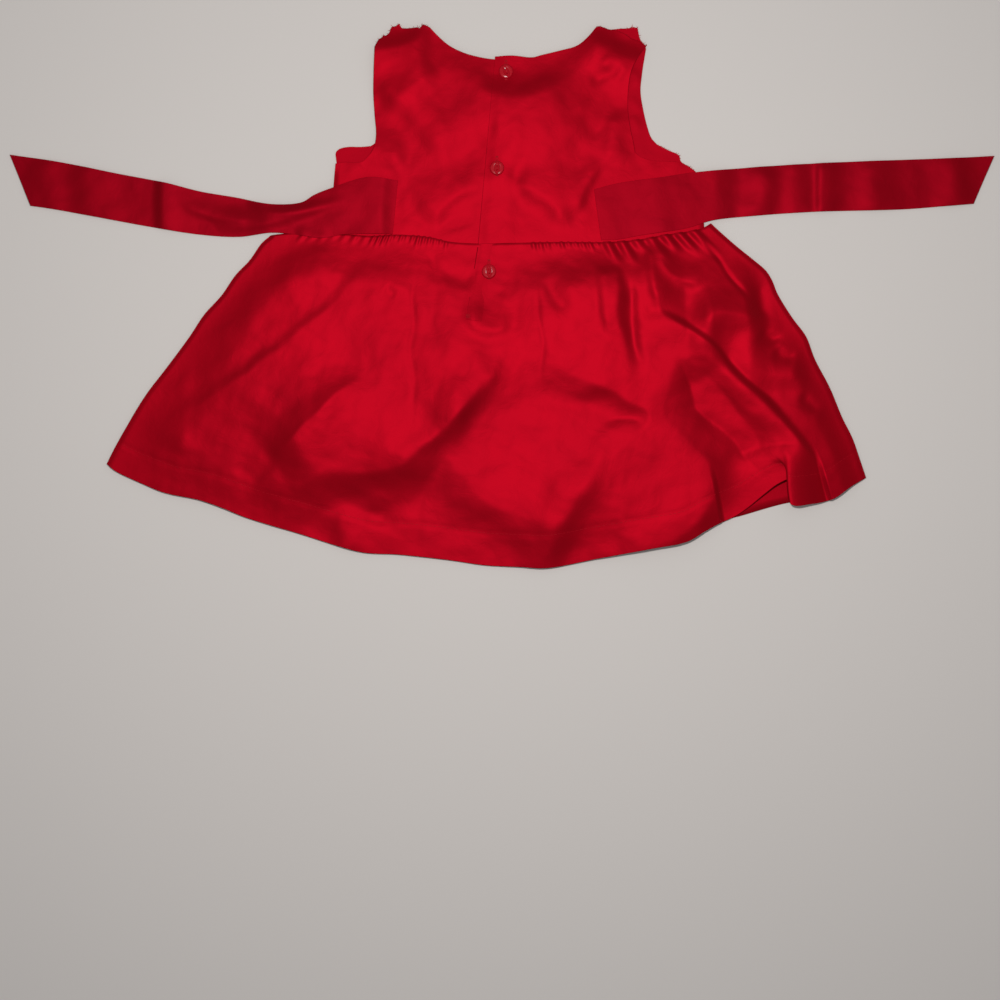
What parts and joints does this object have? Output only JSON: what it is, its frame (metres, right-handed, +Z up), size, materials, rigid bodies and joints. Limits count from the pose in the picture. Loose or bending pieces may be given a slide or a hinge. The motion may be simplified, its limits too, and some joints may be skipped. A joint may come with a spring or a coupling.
{
  "type": "toddler party dress",
  "caption": "Sleeveless red satin toddler dress laid flat, back side up: fitted bodice with a buttoned overlap, gathered skirt with a rolled pleat, and sash halves spread to the sides.",
  "frame": {"origin": "centre of the laid-out dress on the surface it lies on", "axes": "+X across the dress towards the overlap's side, which is the right of the picture; +Y from the hem to the neck; +Z up from the surface, out of the back of the dress"},
  "size_m": [0.7872, 0.4346, 0.0172],
  "materials": {
    "satin": "red polyester satin, right side, soft sheen",
    "satin_inside": "red polyester satin, inner side, duller",
    "button_plastic": "moulded red plastic, glossy"
  },
  "bodies": {
    "root": {"bodice_front": "satin_inside", "skirt_front": "satin_inside", "bodice_back_left": "satin", "bodice_back_right": "satin", "skirt_back": "satin", "skirt_placket_lap": "satin", "sash_left": "satin", "sash_right": "satin", "button_top": "button_plastic", "button_middle": "button_plastic", "button_skirt": "button_plastic"}
  },
  "joints": []
}
